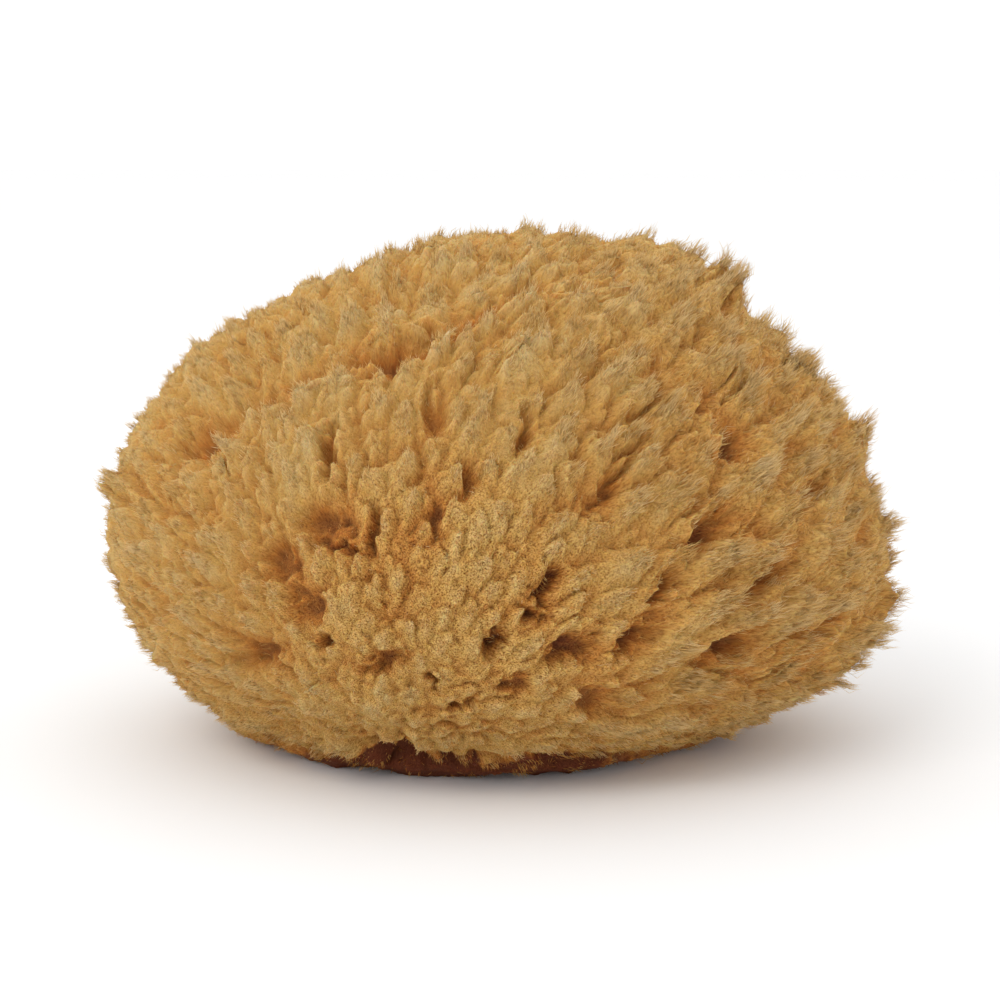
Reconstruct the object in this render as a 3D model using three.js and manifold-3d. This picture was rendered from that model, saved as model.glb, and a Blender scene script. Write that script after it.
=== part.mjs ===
// A natural wool sponge: one irregular rounded mass, cut off flat underneath where it grew on the rock.
// Millimetres, +Z up, the front faces -Y. The origin is under the middle of the sponge, on the cut.
// The solid reaches the tips of the tufts.

import * as THREE from "three";
import { mergeVertices } from "three/addons/utils/BufferGeometryUtils.js";
import Module from "manifold-3d";

// Driving dimensions. The swells below add a little to the width and the depth.
const WIDTH = 147;
const DEPTH = 124;
const HEIGHT = 97;
const CORE_HEIGHT = 0.4 * HEIGHT; // the middle that the surface is measured from, above the cut
const ROUND_BELOW = 1.2; // how far the round underside would reach past the cut, over CORE_HEIGHT
const CUT_BLOCK = 2 * WIDTH; // the side of the block that takes the underside off
const SURFACE_DETAIL = 20; // subdivisions of the icosahedron that carries the surface
const WELD_DISTANCE = 1e-3; // corners nearer than this are one corner

// The tufts that cover the surface.
const TUFTS = 640;
const TUFT_SPACING = Math.sqrt((4 * Math.PI) / TUFTS); // over the distance from the middle
const TUFT_JITTER = 0.35; // how far a tuft is off an even spread, over the spacing
const TUFT_REACH = 0.62; // from a tuft's tip to the gap beside it, over the spacing
const TUFT_RELIEF = 3; // how far a tuft's tip stands over the gaps round it
const SEED = 7;

// Broad swells of the mass: the side that each faces, its half-width in degrees and its height.
const SWELLS = [
  { faces: [0.59, 0.1, 0.8], spread: 10, height: 6 }, // peak at the upper right
  { faces: [0.76, 0, 0.65], spread: 14, height: -4 }, // steep side under the peak
  { faces: [-0.55, 0.1, 0.82], spread: 24, height: -3.5 }, // left shoulder
  { faces: [0.96, -0.1, -0.28], spread: 16, height: 6 }, // right flank, low down
  { faces: [-0.97, -0.05, 0.06], spread: 20, height: 2.5 }, // left flank
  { faces: [-0.8, -0.15, -0.58], spread: 24, height: 3 }, // left flank, low down
  { faces: [0.45, -0.3, -0.84], spread: 18, height: -2 }, // right of the underside
  { faces: [-0.2, -0.95, 0.2], spread: 34, height: 3 }, // front dome
  { faces: [0.15, 0.9, 0.35], spread: 30, height: 3 }, // back dome
];

// Long folds between the swells: the sides each runs between, its half-width in degrees and its depth.
const FOLDS = [
  { from: [-0.78, -0.42, 0.48], to: [-0.2, -0.42, 0.88], spread: 7, depth: 7 },
  { from: [-0.2, -0.42, 0.88], to: [0.18, -0.3, 0.94], spread: 7, depth: 4 },
  { from: [0.62, -0.45, 0.5], to: [0.9, -0.3, 0.1], spread: 7, depth: 3 },
  { from: [-0.3, 0.8, 0.5], to: [0.1, 0.5, 0.85], spread: 8, depth: 4 },
  { from: [0.75, 0.6, 0.1], to: [0.5, 0.65, 0.6], spread: 7, depth: 4 },
];

// The larger water holes: the side that each faces, its half-width in degrees and its depth.
const WATER_HOLES = [
  { faces: [0.14, -0.98, 0.1], spread: 5, depth: 4 },
  { faces: [0.36, -0.92, 0.14], spread: 5.5, depth: 5 },
  { faces: [0.1, 0.7, 0.7], spread: 5.5, depth: 5 },
  { faces: [-0.6, 0.75, 0.1], spread: 5.5, depth: 4 },
];

const direction = (xyz) => new THREE.Vector3(...xyz).normalize();

// 1 at the middle of a feature and falling smoothly to 0 past its half-width.
const fade = (angle, spreadDegrees) =>
  Math.exp(-((angle / THREE.MathUtils.degToRad(spreadDegrees)) ** 2));

// Random numbers from 0 to 1, the same in every run (the mulberry32 generator).
function seededRandom(seed) {
  let state = seed;
  return () => {
    state = (state + 0x6d2b79f5) | 0;
    let t = Math.imul(state ^ (state >>> 15), 1 | state);
    t = (t + Math.imul(t ^ (t >>> 7), 61 | t)) ^ t;
    return ((t ^ (t >>> 14)) >>> 0) / 2 ** 32;
  };
}

// The smooth egg shape under all the relief, from the middle towards a side.
function roundRadius(side) {
  const up = side.z > 0 ? HEIGHT - CORE_HEIGHT : CORE_HEIGHT * ROUND_BELOW;
  return 1 / Math.hypot((2 * side.x) / WIDTH, (2 * side.y) / DEPTH, side.z / up);
}

// The angle from a side to the nearest place on the arc between two others.
function angleToArc(side, from, to) {
  const across = new THREE.Vector3().crossVectors(from, to).normalize();
  const onArc = side.clone().addScaledVector(across, -side.dot(across)).normalize();
  const whole = from.angleTo(to);
  const inside = onArc.angleTo(from) <= whole && onArc.angleTo(to) <= whole;
  return inside ? side.angleTo(onArc) : Math.min(side.angleTo(from), side.angleTo(to));
}

// Tuft tips, spread over the sphere of sides by the golden angle and then jittered.
function tuftSides() {
  const random = seededRandom(SEED);
  const goldenAngle = Math.PI * (3 - Math.sqrt(5));
  return Array.from({ length: TUFTS }, (_, i) => {
    const z = 1 - (2 * (i + 0.5)) / TUFTS;
    const ring = Math.sqrt(1 - z * z);
    const jitter = () => (random() - 0.5) * 2 * TUFT_JITTER * TUFT_SPACING;
    return new THREE.Vector3(
      ring * Math.cos(goldenAngle * i) + jitter(),
      ring * Math.sin(goldenAngle * i) + jitter(),
      z + jitter(),
    ).normalize();
  });
}

// 0 on a tuft's tip and about 1 in the gaps between tufts.
function gapShare(side, tufts) {
  const nearest = Math.min(...tufts.map((tuft) => side.distanceTo(tuft)));
  return Math.min(1, nearest / (TUFT_REACH * TUFT_SPACING)) ** 2;
}

function surfaceRadius(side, features) {
  let radius = roundRadius(side);
  for (const { faces, spread, height } of features.swells)
    radius += height * fade(side.angleTo(faces), spread);
  for (const { from, to, spread, depth } of features.folds)
    radius -= depth * fade(angleToArc(side, from, to), spread);
  for (const { faces, spread, depth } of features.holes)
    radius -= depth * fade(side.angleTo(faces), spread);
  return radius - TUFT_RELIEF * gapShare(side, features.tufts);
}

// The whole mass, before its underside is cut off.
function roundMass() {
  const features = {
    swells: SWELLS.map((s) => ({ ...s, faces: direction(s.faces) })),
    folds: FOLDS.map((f) => ({ ...f, from: direction(f.from), to: direction(f.to) })),
    holes: WATER_HOLES.map((h) => ({ ...h, faces: direction(h.faces) })),
    tufts: tuftSides(),
  };
  const geometry = welded(new THREE.IcosahedronGeometry(1, SURFACE_DETAIL));
  const place = geometry.attributes.position;
  const side = new THREE.Vector3();
  for (let i = 0; i < place.count; i++) {
    side.fromBufferAttribute(place, i).normalize();
    const out = side.clone().multiplyScalar(surfaceRadius(side, features));
    place.setXYZ(i, out.x, out.y, out.z + CORE_HEIGHT);
  }
  return geometry;
}

// The same surface with every corner shared by the triangles round it.
function welded(geometry) {
  geometry.deleteAttribute("normal");
  geometry.deleteAttribute("uv");
  return mergeVertices(geometry, WELD_DISTANCE);
}

function solidOf(wasm, geometry) {
  const vertProperties = geometry.attributes.position.array;
  const triVerts = new Uint32Array(geometry.index.array);
  return new wasm.Manifold(new wasm.Mesh({ numProp: 3, vertProperties, triVerts }));
}

function geometryOf(solid) {
  const { vertProperties, triVerts } = solid.getMesh();
  const geometry = new THREE.BufferGeometry();
  geometry.setAttribute("position", new THREE.BufferAttribute(vertProperties, 3));
  geometry.setIndex(new THREE.BufferAttribute(triVerts, 1));
  geometry.computeVertexNormals();
  return geometry;
}

// The mass with its underside cut off flat at z = 0, centred over the origin.
function cutMass(wasm) {
  const block = new THREE.BoxGeometry(CUT_BLOCK, CUT_BLOCK, CUT_BLOCK);
  block.translate(0, 0, -CUT_BLOCK / 2);
  const mass = geometryOf(solidOf(wasm, roundMass()).subtract(solidOf(wasm, welded(block))));
  mass.computeBoundingBox();
  const middle = mass.boundingBox.getCenter(new THREE.Vector3());
  return mass.translate(-middle.x, -middle.y, 0);
}

const wasm = await Module();
wasm.setup();

const spongin = new THREE.MeshStandardMaterial({
  color: new THREE.Color(0.67, 0.49, 0.26),
  roughness: 0.95,
  metalness: 0,
});

const sponge = new THREE.Mesh(cutMass(wasm), spongin);
sponge.name = "sponge";

const group = new THREE.Group();
group.add(sponge);

export default group;
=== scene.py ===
"""A natural wool sponge: a porous core covered in leaning tufts, and fine fibres on them.

Shapes are worked out in millimetres and become metres as their meshes are made.
"""

import math
from itertools import combinations

import bpy
import numpy as np
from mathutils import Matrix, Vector, noise
from mathutils.bvhtree import BVHTree
from mathutils.kdtree import KDTree

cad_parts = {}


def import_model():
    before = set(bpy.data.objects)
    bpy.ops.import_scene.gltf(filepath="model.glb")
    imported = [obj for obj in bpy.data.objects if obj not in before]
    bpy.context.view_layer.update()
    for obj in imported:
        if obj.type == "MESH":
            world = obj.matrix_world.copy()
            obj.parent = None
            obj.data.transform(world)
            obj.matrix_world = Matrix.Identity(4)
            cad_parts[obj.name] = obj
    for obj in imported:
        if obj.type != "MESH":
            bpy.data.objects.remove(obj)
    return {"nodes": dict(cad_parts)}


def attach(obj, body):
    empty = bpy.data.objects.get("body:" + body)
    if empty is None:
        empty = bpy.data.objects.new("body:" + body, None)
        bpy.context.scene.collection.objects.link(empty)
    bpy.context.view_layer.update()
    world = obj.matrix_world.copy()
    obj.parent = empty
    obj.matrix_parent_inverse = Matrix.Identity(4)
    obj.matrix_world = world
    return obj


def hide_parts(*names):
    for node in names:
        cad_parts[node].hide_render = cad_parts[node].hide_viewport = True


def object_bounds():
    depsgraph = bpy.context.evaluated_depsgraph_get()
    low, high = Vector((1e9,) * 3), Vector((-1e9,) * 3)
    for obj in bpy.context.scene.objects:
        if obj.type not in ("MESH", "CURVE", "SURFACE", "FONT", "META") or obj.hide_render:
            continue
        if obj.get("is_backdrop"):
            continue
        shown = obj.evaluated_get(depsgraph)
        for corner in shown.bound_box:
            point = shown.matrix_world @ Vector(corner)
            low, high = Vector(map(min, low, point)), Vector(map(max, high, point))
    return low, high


MM = 0.001
SEED = 20

# The outline that the tuft tips reach, taken from the CAD solid with its own tufts smoothed off.
CORE_MIDDLE = np.array([0.0, 0.0, 46.0])
SMOOTHING_ROUNDS = 14
CUT_LEVEL = 0.05
LONGEST_EDGE = 8.0  # longer edges are only across the flat cut, and take no part in the smoothing
TIP_LEVEL = 1.6  # how far the tips stand out past the smoothed solid

# Rows of triangles along each edge of the icosahedrons that carry the two surfaces. The body's
# triangles are a little finer on the side that faces FINE_SIDE.
ENVELOPE_FREQUENCY = 44
BODY_FREQUENCY = 98
FINE_SIDE = np.array([0.0, -0.2, 0.12])

# The tufts lean along the lines that run out from FLOW_SOURCE, and up on the right and at the back.
# A cell of the mosaic is drawn out behind its tip by one share and ahead of it by the other.
FLOW_SOURCE = np.array([-13.0, -20.0, 24.0])
FLOW_LEAN = 2.0
RIGHT_LIFT = 0.35
BACK_LIFT = 1.4
STRETCH_BEHIND = 2.8
STRETCH_AHEAD = 0.2

# The part of the front where tufts are short knobs: its middle, and where it starts and ends to fade.
KNOBBLY_MIDDLE = np.array([-10.0, -62.0, 30.0])
KNOBBLY_REACH = (14.0, 44.0)

# Where the painted shade along the cut edge, a dark brown, is strongest at the front: its middle
# across, and where it fades.
CUT_SHADE_MIDDLE = -7.0
CUT_SHADE_REACH = (14.0, 32.0)

# Where the surface faces neither the front nor the back, tufts are shallower and fibres shorter.
SIDEWAYS_RELIEF = 0.75
SIDEWAYS_FRINGE = 0.4

# Values in four zones: the knobs at the front, the sides and back, the right, and near the cut.
# Tone offsets by zone, partly painted light: the sides and back are painted paler, as a lit rim; the
# knobs, the right and the cut zone darker.
ZONE_TONE_AND_RIM_LIGHT = (0.05, -0.03, 0.05, 0.03)
SPECKLE_STRENGTH = (1.0, 0.3, 0.55, 0.9)
DOWN_LENGTH = (0.7, 1.1, 1.3, 1.0)
DOWN_TONE_SPREAD = (0.2, 0.05, 0.14, 0.2)
FRINGE_LENGTH = (0.9, 2.6, 4.2, 1.8)
FRINGE_TONE_SPREAD = (0.24, 0.05, 0.1, 0.2)
WISP_TONE_SPREAD = (0.08, 0.08, 0.12, 0.1)
# How much paler the wisps are painted, as painted light on the lit wisps.
WISP_PAINTED_LIGHT = (0.0, 0.04, 0.08, 0.04)

# Short down all over, and a fringe of longer fibres that gather to points on the tufts' tips.
DOWN = 34000
FRINGE = 98000
FIBRES_TO_A_POINT = 11
GATHER = 0.85
FIBRE_HALF_THICKNESS = (0.04, 0.065)
FIBRE_PIECES = ("back_left", "left", "front", "right", "back_right")
FIBRE_UV = "OFBake"

# The strands' noise: its size over a ball round FLOW_SOURCE and how slowly it changes outwards.
STRAND_BALL = 55.0
STRAND_STRETCH = 0.15
STRAND_SCALE = 3400.0

# The colours of spongin, from the pale tips to the bottoms of the gaps, with painted shade: the
# darker, redder stops stand for the shade down in the gaps.
SPONGIN_WITH_PAINTED_SHADE = [
    (0.0, (0.54, 0.415, 0.225)),
    (0.25, (0.49, 0.335, 0.13)),
    (0.5, (0.49, 0.275, 0.072)),
    (0.75, (0.43, 0.17, 0.032)),
    (1.0, (0.14, 0.036, 0.013)),
]

# What the strands' noise multiplies the body's colour by, and a fibre's from its root to its end:
# painted light that makes each fibre paler toward its end, as if lit through.
SPECKLE = [
    (0.36, (0.30, 0.17, 0.09)),
    (0.5, (1.0, 1.0, 1.0)),
    (0.62, (1.35, 1.5, 1.65)),
]
FIBRE_PAINTED_GLOW = [
    (0.2, (1.15, 1.1, 1.0)),
    (1.0, (1.5, 1.36, 1.2)),
]

# Levels of relief, each a mosaic of cells drawn out along the flow. For each level: the spacing of
# the cells and how far they stand out, at the front, on the sides and back, on the right and near
# the cut, and then how much painted shade darkens the colour of its gaps.
LEVELS = {
    "clump": ((13.0, 1.8), (15.0, 3.0), (17.0, 3.8), (14.0, 3.8), 0.16),
    "tuft": ((4.3, 2.7), (6.2, 4.0), (9.0, 6.8), (5.4, 3.8), 0.42),
    "tuftlet": ((2.3, 1.6), (2.9, 1.5), (3.4, 2.1), (2.4, 1.7), 0.26),
}

# Corners that stand out past the outline: place, half-width and height.
CORNERS = [
    ((43, -4, 88), 8.0, 4.5),
    ((66, -10, 62), 7.0, 2.0),
    ((-70, -14, 50), 5.0, 2.0),
]

# Creases between the front dome and the hills behind it, and two at the back: points along each,
# half-width and depth.
CREASES = [
    ([(-58, -31, 60), (-46, -34, 72), (-33, -36, 79)], 5.0, 4.5),
    ([(-33, -36, 79), (-18, -40, 80), (-10, -36, 84), (3, -28, 89)], 4.5, 4.5),
    ([(-20, -42, 78), (-17, -38, 81)], 5.0, 4.0),
    ([(-30, 52, 56), (-19, 50, 70), (-8, 41, 81), (6, 30, 90)], 4.5, 4.5),
    ([(53, 42, 46), (44, 42, 62), (31, 40, 76)], 4.5, 4.0),
]

# Hollows in the front: place across and up, half-widths, turn in degrees, and depth.
HOLLOWS = [
    (-2.0, 29.5, 2.0, 2.6, -15.0, 5.5),
    (7.5, 40.0, 1.6, 3.6, -8.0, 5.0),
    (5.0, 35.0, 1.6, 1.6, 0.0, 5.0),
    (11.0, 28.0, 4.0, 2.4, 20.0, 4.5),
    (22.0, 29.0, 2.6, 5.0, -40.0, 4.2),
    (26.0, 38.0, 4.5, 1.9, 50.0, 4.0),
    (34.0, 47.0, 5.0, 1.9, 40.0, 3.0),
    (15.0, 17.0, 3.4, 3.0, 20.0, 1.8),
    (38.0, 24.0, 6.0, 2.0, 28.0, 3.5),
    (55.0, 21.0, 6.0, 1.2, 30.0, 3.0),
    (41.0, 63.0, 4.0, 3.0, -50.0, 3.0),
    (55.0, 50.0, 5.0, 2.0, 30.0, 2.5),
    (46.0, 36.0, 6.0, 1.8, 35.0, 2.5),
    (19.0, 56.0, 5.0, 1.5, 50.0, 2.5),
    (-30.0, 49.5, 5.0, 3.6, 15.0, 3.2),
    (-28.0, 46.0, 4.0, 1.3, -10.0, 3.2),
    (-38.0, 42.0, 4.6, 3.4, -20.0, 2.6),
    (-33.0, 35.0, 3.0, 3.8, 20.0, 2.8),
    (-22.0, 48.0, 1.4, 5.0, 0.0, 3.0),
    (-30.0, 62.0, 1.3, 6.0, 5.0, 2.5),
    (-42.0, 23.0, 5.0, 3.4, 30.0, 2.8),
    (-30.0, 27.5, 2.0, 1.6, 0.0, 2.6),
    (-20.0, 25.0, 3.6, 1.6, 15.0, 2.4),
    (-12.0, 22.0, 1.2, 1.2, 0.0, 2.2),
    (-7.0, 17.0, 1.4, 1.2, 0.0, 2.0),
    (-11.0, 52.0, 1.5, 4.0, -15.0, 1.8),
    (-6.0, 58.0, 1.5, 3.0, -5.0, 1.8),
    (3.0, 66.0, 1.5, 3.4, -10.0, 1.8),
    (-12.0, 69.0, 1.4, 3.6, 0.0, 1.6),
    (-19.0, 5.0, 3.6, 2.0, -20.0, 3.5),
    (2.0, 22.0, 4.0, 1.2, 10.0, 1.4),
]

# Hollows in the back, given in the same way.
BACK_HOLLOWS = [
    (6.0, 80.0, 4.0, 2.6, 10.0, 4.5),
    (-41.0, 46.0, 3.4, 3.0, -20.0, 4.5),
    (-18.0, 38.0, 3.0, 2.2, 30.0, 4.0),
    (14.0, 44.0, 2.4, 3.6, -15.0, 5.0),
    (22.0, 30.0, 4.5, 2.0, 35.0, 4.5),
    (-6.0, 22.0, 3.6, 2.0, -25.0, 4.0),
    (36.0, 24.0, 3.0, 2.2, 10.0, 4.0),
    (-30.0, 20.0, 4.5, 1.8, 20.0, 3.5),
    (2.0, 60.0, 2.0, 4.5, 20.0, 4.0),
    (48.0, 60.0, 4.0, 1.8, -50.0, 3.5),
    (-52.0, 60.0, 4.0, 1.8, 45.0, 3.5),
]


def unit(vectors):
    return vectors / np.linalg.norm(vectors, axis=-1, keepdims=True)


def fade(values, low, high):
    """0 below low, 1 above high, and smooth between."""
    share = np.clip((values - low) / (high - low), 0.0, 1.0)
    return share * share * (3.0 - 2.0 * share)


def mix(a, b, share):
    return a + (b - a) * share


def dot(a, b):
    return np.sum(a * b, axis=-1, keepdims=True)


def smooth_noise(points, size, seed):
    """Noise from about -1 to 1 at each point, with blobs about size millimetres across."""
    shift = Vector((seed * 17.3, seed * 5.1, seed * 9.7))
    return np.array([noise.noise(Vector(p) / size + shift) for p in points.tolist()])


def smooth_noise_vectors(points, size, seed):
    shift = Vector((seed * 17.3, seed * 5.1, seed * 9.7))
    return np.array([noise.noise_vector(Vector(p) / size + shift) for p in points.tolist()])


# --- surfaces ---------------------------------------------------------------------------------


def icosahedron():
    """The faces of an icosahedron, each as its three corners, turned outwards."""
    golden = (1.0 + math.sqrt(5.0)) / 2.0
    corners = []
    for a in (-1.0, 1.0):
        for b in (-golden, golden):
            corners += [(0.0, a, b), (a, b, 0.0), (b, 0.0, a)]
    corners = np.array(corners)
    near = np.linalg.norm(corners[:, None] - corners[None], axis=2) < 2.1
    faces = []
    for i, j, k in combinations(range(12), 3):
        if near[i, j] and near[j, k] and near[i, k]:
            a, b, c = corners[i], corners[j], corners[k]
            turned_in = np.dot(np.cross(b - a, c - a), a) < 0.0
            faces.append((a, c, b) if turned_in else (a, b, c))
    return faces


def geodesic(frequency):
    """Unit directions evenly over a sphere, and the triangles between them."""
    points = []
    triangles = []
    for a, b, c in icosahedron():
        row_start = []
        for row in range(frequency + 1):
            row_start.append(len(points))
            for step in range(row + 1):
                share_c = step / frequency
                share_b = (row - step) / frequency
                points.append(a * (1.0 - share_b - share_c) + b * share_b + c * share_c)
        for row in range(frequency):
            for step in range(row + 1):
                upper = row_start[row] + step
                lower = row_start[row + 1] + step
                triangles.append((upper, lower, lower + 1))
                if step < row:
                    triangles.append((upper, lower + 1, upper + 1))
    points = unit(np.array(points))
    rounded = np.round(points, 6)
    _, index, inverse = np.unique(rounded, axis=0, return_index=True, return_inverse=True)
    return points[index], inverse.reshape(-1)[np.array(triangles)]


def vertex_normals(points, triangles):
    a, b, c = (points[triangles[:, i]] for i in range(3))
    face = np.cross(b - a, c - a)
    normals = np.zeros_like(points)
    for i in range(3):
        np.add.at(normals, triangles[:, i], face)
    return unit(normals)


def node_surface(node):
    """The corners and triangles of a CAD node, in millimetres, each corner once."""
    mesh = node.data
    mesh.calc_loop_triangles()
    corners = np.empty(len(mesh.vertices) * 3, np.float32)
    mesh.vertices.foreach_get("co", corners)
    triangles = np.empty(len(mesh.loop_triangles) * 3, np.int32)
    mesh.loop_triangles.foreach_get("vertices", triangles)
    corners = corners.reshape(-1, 3).astype(float) / MM
    points, inverse = np.unique(np.round(corners, 3), axis=0, return_inverse=True)
    return points, inverse.reshape(-1)[triangles].reshape(-1, 3)


def smoothed(points, triangles):
    """The surface with its tufts smoothed off and its cut kept flat."""
    pairs = np.vstack([triangles[:, [0, 1]], triangles[:, [1, 2]], triangles[:, [2, 0]]])
    pairs = np.unique(np.sort(pairs, axis=1), axis=0)
    length = np.linalg.norm(points[pairs[:, 0]] - points[pairs[:, 1]], axis=1)
    pairs = pairs[length < LONGEST_EDGE]
    ends = np.vstack([pairs, pairs[:, ::-1]])
    count = np.bincount(ends[:, 0], minlength=len(points))
    on_cut = points[:, 2] < CUT_LEVEL
    for _ in range(SMOOTHING_ROUNDS):
        total = np.zeros_like(points)
        np.add.at(total, ends[:, 0], points[ends[:, 1]])
        mean = total / np.maximum(count, 1)[:, None]
        points = mix(points, mean, 0.5)
        points[on_cut, 2] = 0.0
    return points


def triangle_areas(points, triangles):
    """Twice the area of each triangle."""
    sides = points[triangles]
    across = np.cross(sides[:, 1] - sides[:, 0], sides[:, 2] - sides[:, 0])
    return np.linalg.norm(across, axis=1)


def random_places(weight, count, rng):
    """Random triangles, and weights for their corners that give a random place on each."""
    faces = rng.choice(len(weight), count, p=weight / weight.sum())
    share = np.sqrt(rng.random(count))[:, None]
    other = rng.random(count)[:, None]
    return faces, (1.0 - share, share * (1.0 - other), share * other)


class Envelope:
    """The smooth surface that the tuft tips reach."""

    def __init__(self, node):
        points, triangles = node_surface(node)
        points = smoothed(points, triangles)
        self.tree = BVHTree.FromPolygons(points.tolist(), triangles.tolist())
        directions, self.triangles = geodesic(ENVELOPE_FREQUENCY)
        self.points = self.reach(directions)
        self.areas = triangle_areas(self.points, self.triangles)

    def reach(self, directions):
        """Where lines from the middle meet the surface."""
        middle = Vector(CORE_MIDDLE)
        far = [self.tree.ray_cast(middle, Vector(d))[3] for d in directions.tolist()]
        points = CORE_MIDDLE + directions * np.array(far)[:, None]
        above_cut = fade(points[:, 2], 0.2, 3.0)
        extra = np.full(len(points), TIP_LEVEL)
        for place, half_width, height in CORNERS:
            away = np.linalg.norm(points - place, axis=1)
            extra += height * (1.0 - fade(away / half_width, 0.0, 1.4))
        return points + directions * (extra * above_cut)[:, None]

    def scatter(self, count, rng):
        """Random points evenly over the surface."""
        faces, weights = random_places(self.areas, count, rng)
        corners = self.triangles[faces]
        return sum(w * self.points[corners[:, i]] for i, w in enumerate(weights))


def spread_out(points, spacing):
    """Which points to keep, so that none is nearer another than its spacing."""
    cell = float(spacing.max())
    kept = {}
    chosen = []
    cells = np.floor(points / cell).astype(int).tolist()
    for i, (x, y, z) in enumerate(cells):
        near = [
            j
            for a in (x - 1, x, x + 1)
            for b in (y - 1, y, y + 1)
            for c in (z - 1, z, z + 1)
            for j in kept.get((a, b, c), ())
        ]
        if near:
            gap = np.linalg.norm(points[near] - points[i], axis=1)
            if (gap < spacing[i]).any():
                continue
        kept.setdefault((x, y, z), []).append(i)
        chosen.append(i)
    return np.array(chosen)


# --- the lie of the tufts ---------------------------------------------------------------------


def flow(points, normals):
    """The direction that the tufts lie in at each point."""
    out = unit(points - FLOW_SOURCE)
    along = out - dot(out, normals) * normals
    up = np.array([0.0, 0.0, 1.0]) - normals[:, 2:3] * normals
    lift = RIGHT_LIFT * fade(points[:, 0], 0.0, 60.0)[:, None]
    lift = lift + BACK_LIFT * fade(points[:, 1], 5.0, 45.0)[:, None]
    return unit(normals + FLOW_LEAN * along + lift * up)


def knobbly(points):
    """1 in the middle of the front, where the tufts are short knobs, and 0 away from it."""
    away = np.linalg.norm((points - KNOBBLY_MIDDLE) * [1.0, 0.7, 1.0], axis=1)
    return 1.0 - fade(away, *KNOBBLY_REACH)


def near_cut(points):
    return 1.0 - fade(points[:, 2], 2.0, 16.0)


def by_zone(points, knobs, sides, right, cut):
    """A value for each point, from its values in four zones."""
    value = mix(sides, right, fade(points[:, 0], 0.0, 40.0))
    value = mix(value, knobs, knobbly(points))
    return mix(value, cut, near_cut(points))


# --- meshes -----------------------------------------------------------------------------------


def new_piece(name, points, triangles):
    """A mesh object from points in millimetres."""
    mesh = bpy.data.meshes.new(name)
    mesh.vertices.add(len(points))
    mesh.vertices.foreach_set("co", (points * MM).astype(np.float32).ravel())
    mesh.loops.add(len(triangles) * 3)
    mesh.loops.foreach_set("vertex_index", triangles.astype(np.int32).ravel())
    mesh.polygons.add(len(triangles))
    mesh.polygons.foreach_set("loop_start", np.arange(0, len(triangles) * 3, 3, dtype=np.int32))
    mesh.polygons.foreach_set("use_smooth", np.full(len(triangles), True))
    mesh.update(calc_edges=True)
    piece = bpy.data.objects.new(name, mesh)
    bpy.context.scene.collection.objects.link(piece)
    return piece


def add_attribute(piece, name, values):
    layer = piece.data.attributes.new(name, "FLOAT", "POINT")
    layer.data.foreach_set("value", values.astype(np.float32))


def add_uv(piece, name, corners):
    layer = piece.data.uv_layers.new(name=name)
    layer.data.foreach_set("uv", corners.astype(np.float32).ravel())


# --- the body ---------------------------------------------------------------------------------


class Cells:
    """A mosaic of cells over the envelope, each with its own height and tilt."""

    def __init__(self, envelope, spacings, rng):
        tries = int(6.0 * envelope.areas.sum() / min(spacings) ** 2)
        points = envelope.scatter(tries, rng)
        apart = by_zone(points, *spacings) * rng.uniform(0.75, 1.2, tries)
        chosen = spread_out(points, apart)
        self.points = points[chosen]
        count = len(chosen)
        self.height = rng.uniform(0.55, 1.1, count)
        self.tilt = 0.28 * rng.standard_normal((count, 3))
        self.tree = KDTree(count)
        for i, point in enumerate(self.points.tolist()):
            self.tree.insert(point, i)
        self.tree.balance()

    def shares(self, points, along, lying):
        """Each point's cell, and its share of the way in from that cell's edge to its tip.

        The tip is near the end that the flow points to.
        """
        near = np.array([[n[1] for n in self.tree.find_n(p, 12)] for p in points.tolist()])
        gap = points[:, None] - self.points[near]
        on_line = np.sum(gap * along[:, None], axis=2)
        off_line = np.sqrt(np.maximum(np.sum(gap * gap, axis=2) - on_line**2, 0.0))
        behind = 1.0 + STRETCH_BEHIND * lying[:, None]
        ahead = 1.0 + STRETCH_AHEAD * lying[:, None]
        away = np.hypot(on_line / np.where(on_line < 0.0, behind, ahead), off_line)
        order = np.argsort(away, axis=1)
        rows = np.arange(len(points))
        first = away[rows, order[:, 0]]
        second = away[rows, order[:, 1]]
        return near[rows, order[:, 0]], 1.0 - 2.0 * first / (first + second)


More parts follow.
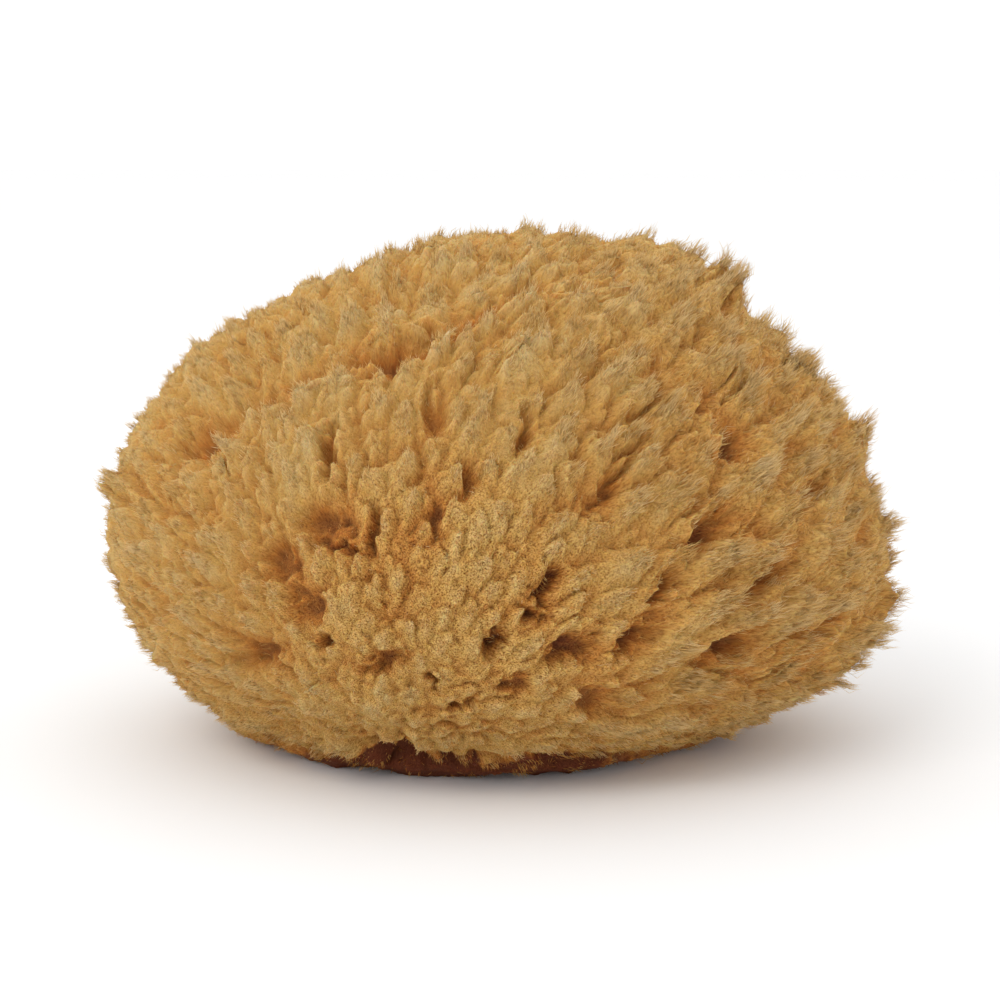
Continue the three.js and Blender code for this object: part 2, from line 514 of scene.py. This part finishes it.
class Body:
    """The whole surface, with its tufts pushed out along the flow, and what fibres ask of it."""

    def __init__(self, envelope, rng):
        directions, self.triangles = geodesic(BODY_FREQUENCY)
        base = envelope.reach(unit(directions + FINE_SIDE))
        normals = vertex_normals(base, self.triangles)
        lie = flow(base, normals)
        steep = dot(lie, normals)
        along = unit(lie - steep * normals + 1e-6)
        self.lying = np.sqrt(1.0 - steep[:, 0] ** 2)
        relief_share = mix(SIDEWAYS_RELIEF, 1.0, fade(np.abs(normals[:, 1]), 0.0, 0.5))
        hollow, sink = hollows(base)
        out = np.zeros_like(base)
        full = np.zeros(len(base))
        filled = np.zeros(len(base))
        tone = np.zeros(len(base))
        for seed, (name, (*zones, gap_shade)) in enumerate(LEVELS.items()):
            spacings, heights = zip(*zones)
            cells = Cells(envelope, spacings, rng)
            ragged = base + edge_wobble(base, spacings, seed)
            which, inward = cells.shares(ragged, along, self.lying)
            rise = 1.0 - (1.0 - inward) ** mix(1.9, 1.4, self.lying)
            rise = mix(rise, 1.0, 0.5 * merging(base, spacings, seed))
            rise = rise * mix(1.0, cells.height[which], inward) * (1.0 - 0.85 * hollow)
            height = by_zone(base, *heights) * relief_share
            push = unit(lie + cells.tilt[which] * inward[:, None])
            out += push * (height * rise)[:, None]
            full += height
            filled += height * rise
            # Painted shade: the colour darkens where the surface falls away from a cell's tip into
            # the gaps.
            tone += gap_shade * (1.0 - rise)
            if name == "tuft":
                self.tip = fade(inward, 0.0, 0.75) * (1.0 - hollow)
        off_cut = fade(base[:, 2], 0.3, 2.5)
        grain = 0.28 * smooth_noise(base, 1.8, 6) + 0.2 * smooth_noise(base, 0.9, 7)
        floor = base - normals * (full * steep[:, 0] * 0.7 + sink)[:, None]
        points = mix(base, floor + out + normals * grain[:, None], off_cut[:, None])
        points[:, 2] = np.maximum(points[:, 2], 0.0)
        self.points = points
        self.normals = vertex_normals(points, self.triangles)
        self.push = unit(lie + out / (full[:, None] + 1.0))
        self.rise = filled / full
        self.on_cut = 1.0 - off_cut
        patches = 0.05 * smooth_noise(base, 9.0, 41) + 0.05 * smooth_noise(base, 3.0, 42)
        # Painted shade darkens the colour in the gaps between cells, in the hollows and creases, and
        # along the cut edge; the zone tones add a painted pale rim on the sides and back; the patches
        # are random tone.
        depth = by_zone(base, *ZONE_TONE_AND_RIM_LIGHT) + patches + tone + 0.05 * sink + cut_edge_shade(base)
        self.depth = np.clip(depth, 0.0, 1.0)
        self.speckle = by_zone(base, *SPECKLE_STRENGTH)

    def make(self):
        piece = new_piece("sponge_body", self.points, self.triangles)
        add_attribute(piece, "depth", self.depth)
        add_attribute(piece, "speckle", self.speckle)
        return piece


def edge_wobble(points, spacings, seed):
    """Moves that make the edges of a level's cells uneven."""
    typical = spacings[1]
    wobble = 0.20 * typical * smooth_noise_vectors(points, 1.1 * typical, 3 + seed)
    wobble += 0.10 * typical * smooth_noise_vectors(points, 0.4 * typical, 13 + seed)
    return wobble * (by_zone(points, *spacings) / typical)[:, None]


def merging(points, spacings, seed):
    """How far the cells of a level run together at each point, from 0 to 0.7."""
    return np.clip(0.2 + 1.1 * smooth_noise(points, 2.0 * spacings[1], 23 + seed), 0.0, 0.7)


def cut_edge_shade(points):
    """How much darker the surface is painted where it meets the cut: painted shade under the
    overhanging edge.
    """
    across = np.abs(points[:, 0] - CUT_SHADE_MIDDLE)
    in_front = (1.0 - fade(across, *CUT_SHADE_REACH)) * (points[:, 1] < 0.0)
    level = points[:, 2] + 1.5 * smooth_noise(points, 4.0, 44) - 2.2 * in_front
    return mix(0.35, 0.9, in_front) * (1.0 - fade(level, 0.5, 2.8))


def hollows(points):
    """How much each point is in a hollow, from 0 to 1, and how deep it is sunk."""
    share = np.zeros(len(points))
    sink = np.zeros(len(points))
    ragged = 1.8 * smooth_noise_vectors(points, 4.0, 31) + 1.2 * smooth_noise_vectors(points, 1.5, 32)
    front = points[:, 1] < 0.0
    for on_side, entries in ((front, HOLLOWS), (~front, BACK_HOLLOWS)):
        for x, z, across, up, turn, depth in entries:
            cosine = math.cos(math.radians(turn))
            sine = math.sin(math.radians(turn))
            dx = points[:, 0] - x + ragged[:, 0]
            dz = points[:, 2] - z + ragged[:, 2]
            away = np.hypot((dx * cosine + dz * sine) / across, (dz * cosine - dx * sine) / up)
            here = (1.0 - fade(away, 0.2, 1.6)) * on_side
            share = np.maximum(share, here)
            sink = np.maximum(sink, 0.66 * here * depth)
    for line, half_width, depth in CREASES:
        here = 1.0 - fade(distance_to_line(points + ragged, line) / half_width, 0.1, 1.5)
        share = np.maximum(share, 0.5 * here)
        sink = np.maximum(sink, here * depth)
    return share, sink


def distance_to_line(points, line):
    """How far each point is from the nearest place on a line of straight steps."""
    nearest = np.full(len(points), np.inf)
    for a, b in zip(np.array(line[:-1], float), np.array(line[1:], float)):
        share = np.clip((points - a) @ (b - a) / np.dot(b - a, b - a), 0.0, 1.0)[:, None]
        nearest = np.minimum(nearest, np.linalg.norm(points - mix(a, b, share), axis=1))
    return nearest


# --- fibres -----------------------------------------------------------------------------------


class Roots:
    """Random places on the body that fibres grow from, with what the body knows at each."""

    def __init__(self, body, chance, count, rng):
        corners = body.triangles
        weight = triangle_areas(body.points, corners) * chance[corners].mean(axis=1)
        faces, weights = random_places(weight, count, rng)

        def at(values):
            return sum(w * values[corners[faces, i]] for i, w in enumerate(weights))

        self.point = at(body.points)
        self.normal = unit(at(body.normals))
        self.push = unit(at(body.push))
        self.lying = at(body.lying[:, None])
        self.rise = at(body.rise[:, None])
        self.depth = at(body.depth[:, None])
        self.tip = at(body.tip[:, None])


def grow_down(body, rng):
    """Short fibres all over: their roots, ends and tones."""
    chance = (0.3 + body.rise) * (1.0 - 0.8 * body.on_cut)
    roots = Roots(body, chance, DOWN, rng)
    stray = mix(0.5, 0.25, roots.lying) * rng.standard_normal((DOWN, 3))
    upright = mix(0.6, 0.3, roots.lying)
    direction = unit(roots.normal * upright + roots.push * mix(0.2, 1.2, roots.lying) + stray)
    length = by_zone(roots.point, *DOWN_LENGTH)[:, None] * (0.5 + 0.6 * roots.rise)
    length = length * rng.uniform(0.6, 1.3, (DOWN, 1))
    grain = by_zone(roots.point, *DOWN_TONE_SPREAD) * rng.standard_normal(DOWN)
    # The down's colour carries the body's painted shade at its root, with a random spread.
    tone = roots.depth[:, 0] + grain
    root = roots.point - roots.normal * 0.15
    return root, root + direction * length, tone


def grow_fringe(body, rng):
    """Longer fibres near the tips of the tufts, in wisps that each gather to a point."""
    chance = (0.08 + body.tip**2) * (0.4 + body.lying) * (1.0 - body.on_cut)
    roots = Roots(body, chance, FRINGE, rng)
    stray = mix(0.35, 0.12, roots.lying) * rng.standard_normal((FRINGE, 3))
    upright = mix(0.6, 0.1, roots.lying)
    direction = unit(roots.normal * upright + roots.push * mix(0.3, 1.3, roots.lying) + stray)
    length = by_zone(roots.point, *FRINGE_LENGTH)[:, None] * (0.3 + 0.8 * roots.tip)
    length *= mix(SIDEWAYS_FRINGE, 1.0, fade(np.abs(roots.normal[:, 1:2]), 0.0, 0.6))
    length = length * rng.uniform(0.5, 1.3, (FRINGE, 1))
    root = roots.point - roots.normal * 0.2
    end = root + direction * length
    leader = nearest_leader(root)
    end = mix(end, end[leader], GATHER * roots.lying * rng.uniform(0.4, 1.0, (FRINGE, 1)))
    wisp_tone = by_zone(root, *WISP_TONE_SPREAD) * rng.standard_normal(FRINGE)[leader]
    own_tone = by_zone(root, *FRINGE_TONE_SPREAD) * rng.standard_normal(FRINGE)
    wisp_light = by_zone(root, *WISP_PAINTED_LIGHT)
    # The fringe keeps 0.6 of the body's painted shade and is painted paler as painted light on the
    # wisps; the spreads are random tone.
    tone = 0.6 * roots.depth[:, 0] - wisp_light + wisp_tone + own_tone
    return root, end, tone


def make_fibres(body, rng):
    """All the fibres, shared between pieces by the side of the sponge that they are on."""
    both = zip(grow_down(body, rng), grow_fringe(body, rng))
    root, end, tone = (np.concatenate(pair) for pair in both)
    count = len(root)
    length = np.linalg.norm(end - root, axis=1, keepdims=True)
    bend = 0.5 * (root + end) + 0.1 * length * rng.standard_normal((count, 3))
    tone = tone + 0.12 * smooth_noise(STRAND_BALL * unit(root - FLOW_SOURCE), 0.6, 43)
    tone = np.clip(tone, 0.0, 1.0)
    order = np.argsort(np.arctan2(root[:, 0], -root[:, 1]))
    pieces = []
    for name, chosen in zip(FIBRE_PIECES, np.array_split(order, len(FIBRE_PIECES))):
        pieces.append(
            fibre_piece("fibres_" + name, root[chosen], bend[chosen], end[chosen], tone[chosen], rng)
        )
    return pieces


def nearest_leader(root):
    """For each fibre, the nearest of the fibres that the others gather to."""
    leaders = np.arange(0, len(root), FIBRES_TO_A_POINT)
    tree = KDTree(len(leaders))
    for i in leaders.tolist():
        tree.insert(root[i], i)
    tree.balance()
    return np.array([tree.find(point)[1] for point in root.tolist()])


def fibre_piece(name, root, bend, end, tone, rng):
    """One mesh of fibres, each of six triangles from its root over a ring at its bend to its end."""
    count = len(root)
    along = unit(end - root)
    side = unit(np.cross(along, unit(rng.standard_normal((count, 3)))))
    over = np.cross(side, along)
    half = rng.uniform(*FIBRE_HALF_THICKNESS, count)[:, None]
    ring = [
        bend + (side * math.cos(a) + over * math.sin(a)) * half
        for a in (0.0, 2.0 * math.pi / 3.0, 4.0 * math.pi / 3.0)
    ]
    points = np.stack([root, *ring, end], axis=1).reshape(-1, 3)
    points[:, 2] = np.maximum(points[:, 2], 0.0)
    fan = np.array([(0, 2, 1), (0, 3, 2), (0, 1, 3), (4, 1, 2), (4, 2, 3), (4, 3, 1)])
    triangles = (fan[None] + (np.arange(count) * 5)[:, None, None]).reshape(-1, 3)
    piece = new_piece(name, points, triangles)
    u = np.stack([tone, tone, tone + 0.01, tone + 0.02, tone], axis=1) * 0.9 + 0.03
    v = np.broadcast_to(np.array([0.02, 0.5, 0.5, 0.5, 0.98]), (count, 5))
    uv = np.stack([u, v], axis=2).reshape(-1, 2)
    add_uv(piece, FIBRE_UV, uv[triangles.ravel()])
    return piece


# --- materials --------------------------------------------------------------------------------


def new_material(name):
    material = bpy.data.materials.new(name)
    material.use_nodes = True
    shader = material.node_tree.nodes["Principled BSDF"]
    return material, material.node_tree.nodes, material.node_tree.links, shader


def ramp(nodes, stops):
    node = nodes.new("ShaderNodeValToRGB")
    while len(node.color_ramp.elements) < len(stops):
        node.color_ramp.elements.new(0.5)
    for element, (place, colour) in zip(node.color_ramp.elements, stops):
        element.position = place
        element.color = (*colour, 1.0)
    return node


def strands(nodes, links):
    """Noise drawn out along the lines that run from the flow source."""
    place = nodes.new("ShaderNodeTexCoord")
    offset = vector_step(nodes, links, "SUBTRACT", place.outputs["Object"])
    offset.inputs[1].default_value = FLOW_SOURCE * MM
    side = vector_step(nodes, links, "NORMALIZE", offset.outputs[0])
    spread = vector_step(nodes, links, "SCALE", side.outputs[0])
    spread.inputs["Scale"].default_value = STRAND_BALL * MM
    away = vector_step(nodes, links, "LENGTH", offset.outputs[0])
    along = nodes.new("ShaderNodeMath")
    along.operation = "MULTIPLY"
    along.inputs[1].default_value = STRAND_STRETCH
    links.new(away.outputs["Value"], along.inputs[0])
    grain = nodes.new("ShaderNodeTexNoise")
    grain.noise_dimensions = "4D"
    grain.inputs["Scale"].default_value = STRAND_SCALE
    grain.inputs["Detail"].default_value = 3.0
    grain.inputs["Roughness"].default_value = 0.7
    links.new(spread.outputs[0], grain.inputs["Vector"])
    links.new(along.outputs[0], grain.inputs["W"])
    return grain


def vector_step(nodes, links, operation, source):
    step = nodes.new("ShaderNodeVectorMath")
    step.operation = operation
    links.new(source, step.inputs[0])
    return step


def multiplied(nodes, links, first, second):
    """The product of two ramps' colours, as far as its factor says."""
    product = nodes.new("ShaderNodeMix")
    product.data_type = "RGBA"
    product.blend_type = "MULTIPLY"
    product.inputs["Factor"].default_value = 1.0
    links.new(first.outputs["Color"], product.inputs[6])
    links.new(second.outputs["Color"], product.inputs[7])
    return product


def body_material():
    material, nodes, links, shader = new_material("spongin_body")
    shader.inputs["Roughness"].default_value = 0.9
    shader.inputs["Specular IOR Level"].default_value = 0.2
    shader.inputs["Subsurface Weight"].default_value = 0.6
    shader.inputs["Subsurface Radius"].default_value = (1.0, 0.45, 0.2)
    shader.inputs["Subsurface Scale"].default_value = 0.003
    depth = nodes.new("ShaderNodeAttribute")
    depth.attribute_name = "depth"
    # The ramp's darker stops are painted shade in the gaps, chosen by the depth attribute.
    colour = ramp(nodes, SPONGIN_WITH_PAINTED_SHADE)
    links.new(depth.outputs["Fac"], colour.inputs["Fac"])
    grain = strands(nodes, links)
    speckle = ramp(nodes, SPECKLE)
    links.new(grain.outputs["Fac"], speckle.inputs["Fac"])
    strength = nodes.new("ShaderNodeAttribute")
    strength.attribute_name = "speckle"
    product = multiplied(nodes, links, colour, speckle)
    links.new(strength.outputs["Fac"], product.inputs["Factor"])
    links.new(product.outputs[2], shader.inputs["Base Color"])
    bump = nodes.new("ShaderNodeBump")
    bump.inputs["Strength"].default_value = 0.8
    bump.inputs["Distance"].default_value = 0.0004
    links.new(grain.outputs["Fac"], bump.inputs["Height"])
    links.new(bump.outputs["Normal"], shader.inputs["Normal"])
    return material


def fibre_material():
    material, nodes, links, shader = new_material("spongin_fibre")
    shader.inputs["Roughness"].default_value = 0.75
    shader.inputs["Specular IOR Level"].default_value = 0.2
    uv = nodes.new("ShaderNodeUVMap")
    uv.uv_map = FIBRE_UV
    split = nodes.new("ShaderNodeSeparateXYZ")
    links.new(uv.outputs["UV"], split.inputs["Vector"])
    # The fibres' colour takes the body's painted shade through the same ramp.
    colour = ramp(nodes, SPONGIN_WITH_PAINTED_SHADE)
    links.new(split.outputs["X"], colour.inputs["Fac"])
    # Painted light: each fibre paler toward its end, as if lit through.
    pale = ramp(nodes, FIBRE_PAINTED_GLOW)
    links.new(split.outputs["Y"], pale.inputs["Fac"])
    product = multiplied(nodes, links, colour, pale)
    links.new(product.outputs[2], shader.inputs["Base Color"])
    return material


# --- the studio -------------------------------------------------------------------------------


def make_studio(box):
    scene = bpy.context.scene
    scene.view_settings.view_transform = "Standard"
    world = bpy.data.worlds.new("studio")
    world.use_nodes = True
    world.node_tree.nodes["Background"].inputs["Color"].default_value = (1.0, 1.0, 1.0, 1.0)
    world.node_tree.nodes["Background"].inputs["Strength"].default_value = 1.1
    scene.world = world
    mesh = bpy.data.meshes.new("floor")
    mesh.from_pydata([(-3, -3, 0), (3, -3, 0), (3, 3, 0), (-3, 3, 0)], [], [(0, 1, 2, 3)])
    floor = bpy.data.objects.new("floor", mesh)
    scene.collection.objects.link(floor)
    material, _, _, shader = new_material("white_floor")
    shader.inputs["Base Color"].default_value = (0.9, 0.9, 0.9, 1.0)
    shader.inputs["Roughness"].default_value = 0.9
    floor.data.materials.append(material)
    floor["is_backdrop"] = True
    add_area_light("key", (-0.6, -0.8, 0.9), 0.7, 4.7)
    add_camera(box)


def add_area_light(name, place, size, watts):
    data = bpy.data.lights.new(name, "AREA")
    data.size = size
    data.energy = watts
    light = bpy.data.objects.new(name, data)
    light.location = place
    light.rotation_euler = Vector(place).to_track_quat("Z", "Y").to_euler()
    bpy.context.scene.collection.objects.link(light)


def add_camera(box):
    low, high = (np.array(corner) for corner in box)
    aim = (low + high) / 2.0 + [0.0, 0.0, -0.0035]
    elevation = math.radians(10.0)
    distance = 0.447
    place = aim + distance * np.array([0.0, -math.cos(elevation), math.sin(elevation)])
    data = bpy.data.cameras.new("camera")
    data.lens = 85.0
    data.sensor_width = 36.0
    camera = bpy.data.objects.new("camera", data)
    camera.location = place
    camera.rotation_euler = Vector(place - aim).to_track_quat("Z", "Y").to_euler()
    bpy.context.scene.collection.objects.link(camera)
    bpy.context.scene.camera = camera


def main():
    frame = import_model()
    cad_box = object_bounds()
    rng = np.random.default_rng(SEED)
    noise.seed_set(SEED)  # noise_vector takes its offsets from this, and from the clock without it
    envelope = Envelope(frame["nodes"]["sponge"])
    body = Body(envelope, rng)
    skin = body.make()
    fibres = make_fibres(body, rng)
    skin.data.materials.append(body_material())
    spongin_fibre = fibre_material()
    for piece in fibres:
        piece.data.materials.append(spongin_fibre)
    for piece in (skin, *fibres):
        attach(piece, "root")
        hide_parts("sponge")
    make_studio(cad_box)
    boxes = {"cad": cad_box, "visual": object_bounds()}
    boxes = {name: [list(corner) for corner in box] for name, box in boxes.items()}


main()
